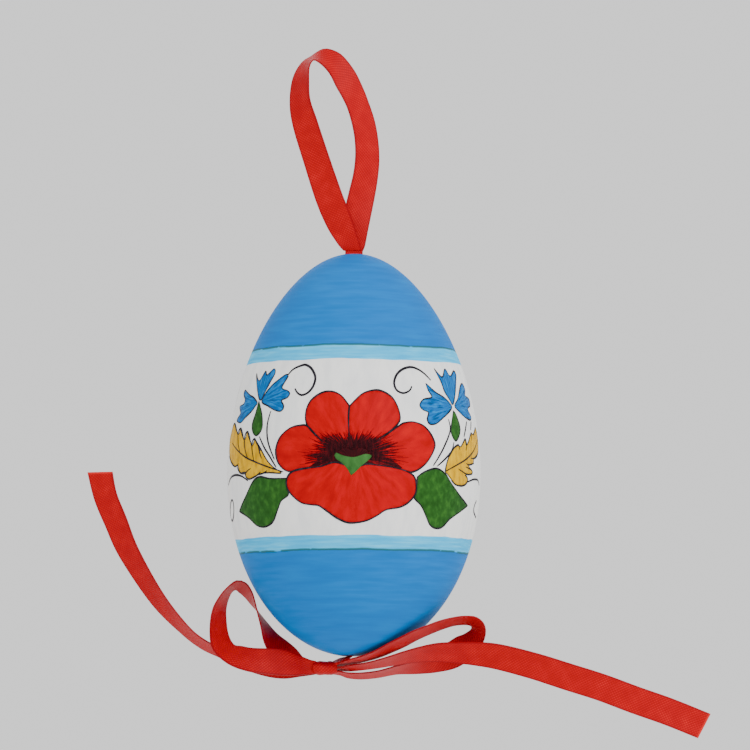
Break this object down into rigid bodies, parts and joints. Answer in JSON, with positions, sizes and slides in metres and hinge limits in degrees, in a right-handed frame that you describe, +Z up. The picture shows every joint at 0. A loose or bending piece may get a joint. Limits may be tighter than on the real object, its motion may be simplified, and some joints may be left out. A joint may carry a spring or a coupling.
{
  "type": "painted hanging egg",
  "caption": "Painted goose eggshell, drilled at both ends and hung on a flat satin ribbon that runs through it, with a hanging loop above and a tied bow below.",
  "frame": {"origin": "the hang point: just under the top of the hanging loop, where a hook or twig carries it", "axes": "+Z up along the egg's length, towards its narrow end; +X to the right and -Y to the front, the side with the main flower; the ribbon loop lies in the XZ plane"},
  "size_m": [0.1357, 0.0552, 0.1511],
  "materials": {
    "painted_shell": "hand-brushed paint on eggshell, satin sheen",
    "red_satin": "satin weave"
  },
  "bodies": {
    "loop": {"hanging_loop": "red_satin"},
    "neck": {"ribbon_neck": "red_satin"},
    "runs": {"ribbon_run_front": "red_satin", "ribbon_run_back": "red_satin"},
    "egg": {"egg_shell": "painted_shell"},
    "bow": {"knot_lead": "red_satin", "bow_knot": "red_satin"},
    "left_bow_loop": {"bow_loop_left": "red_satin"},
    "left_tail": {"bow_tail_left": "red_satin"},
    "right_bow_loop": {"bow_loop_right": "red_satin"},
    "right_tail": {"bow_tail_right": "red_satin"}
  },
  "joints": [
    {"name": "side_swing", "type": "hinge", "parent": "loop", "child": "neck", "pos_m": [0.0065, 0, -0.0369], "axis": [0, 1, 0], "range_deg": [-30, 30]},
    {"name": "fore_aft_swing", "type": "hinge", "parent": "neck", "child": "runs", "pos_m": [0.0065, 0, -0.0396], "axis": [1, 0, 0], "range_deg": [-40, 40]},
    {"name": "egg_spin", "type": "hinge", "parent": "runs", "child": "egg", "pos_m": [0.0065, 0, -0.0845], "axis": [0, 0, 1], "continuous": true},
    {"name": "bow_swivel", "type": "hinge", "parent": "runs", "child": "bow", "pos_m": [0.0065, 0, -0.12834], "axis": [0, 0, 1], "range_deg": [-90, 90], "stiffness_Nm_per_rad": 0.0001},
    {"name": "left_loop_flex", "type": "hinge", "parent": "bow", "child": "left_bow_loop", "pos_m": [-0.00295, -0.00035, -0.13102], "axis": [0, 0, 1], "range_deg": [-10, 20], "stiffness_Nm_per_rad": 0.0002},
    {"name": "left_tail_flex", "type": "hinge", "parent": "left_bow_loop", "child": "left_tail", "pos_m": [-0.00295, 0.0009, -0.13102], "axis": [0, 0, 1], "range_deg": [-20, 0], "stiffness_Nm_per_rad": 0.0001},
    {"name": "right_loop_flex", "type": "hinge", "parent": "bow", "child": "right_bow_loop", "pos_m": [0.00365, 0, -0.13102], "axis": [0, 0, 1], "range_deg": [-15, 0], "stiffness_Nm_per_rad": 0.0002},
    {"name": "right_tail_flex", "type": "hinge", "parent": "right_bow_loop", "child": "right_tail", "pos_m": [0.00365, 0, -0.13102], "axis": [0, 0, 1], "range_deg": [-20, 0], "stiffness_Nm_per_rad": 0.0002}
  ]
}
